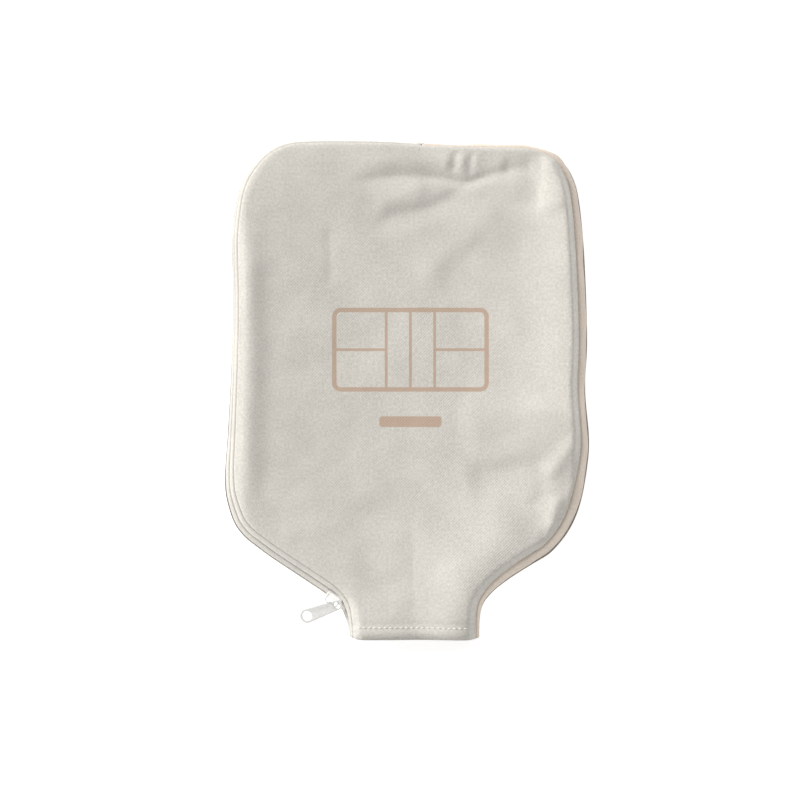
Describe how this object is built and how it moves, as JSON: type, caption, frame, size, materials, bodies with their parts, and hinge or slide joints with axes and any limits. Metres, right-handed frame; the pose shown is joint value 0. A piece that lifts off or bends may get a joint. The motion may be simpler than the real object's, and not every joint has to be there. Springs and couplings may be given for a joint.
{
  "type": "paddle case",
  "caption": "Zipped padded canvas case shaped like a broad paddle, with a wrap-round zip, a plain gusset and an open neck for the handle.",
  "frame": {"origin": "middle of the case's box, on the surface that its back lies on", "axes": "+X to the plain gusset side, +Y away from the neck, +Z out of the front panel"},
  "size_m": [0.2221, 0.302, 0.0177],
  "materials": {
    "canvas": "matte cotton canvas",
    "foam": "matte foam",
    "lining": "smooth woven lining",
    "tape": "matte woven tape",
    "coil": "satin nylon",
    "metal": "satin cast metal",
    "thread": "sewing thread"
  },
  "bodies": {
    "root": {"back_panel": "canvas", "back_padding": "foam", "back_lining": "lining", "gusset_strip": "canvas", "back_edge_band": "canvas", "back_zip_tape": "tape", "back_zip_coil": "coil", "front_panel_side": "canvas", "front_padding_side": "foam", "front_lining_side": "lining", "back_top_stop": "metal", "bottom_stop": "metal", "back_hem_thread": "thread"},
    "flap": {"front_panel_flap": "canvas", "front_padding_flap": "foam", "front_lining_flap": "lining", "front_edge_band": "canvas", "front_zip_tape": "tape", "front_zip_coil": "coil", "front_top_stop": "metal", "front_hem_thread": "thread"},
    "slider": {"slider_body": "metal"},
    "tab": {"pull_tab": "metal"}
  },
  "joints": [
    {"name": "front_flap_open", "type": "hinge", "parent": "root", "child": "flap", "pos_m": [0.00851, 0.1473, 0.017], "axis": [-0.1102, 0.9939, 0], "range_deg": [0, 140]},
    {"name": "slider_travel", "type": "slide", "parent": "root", "child": "slider", "axis": [-0.8241, 0.5664, 0], "range_m": [0, 0.058]},
    {"name": "pull_tab_swing", "type": "hinge", "parent": "slider", "child": "tab", "pos_m": [-0.04245, -0.13054, 0.01146], "axis": [-0.1941, -0.0745, 0.9781], "range_deg": [-15, 75]}
  ]
}
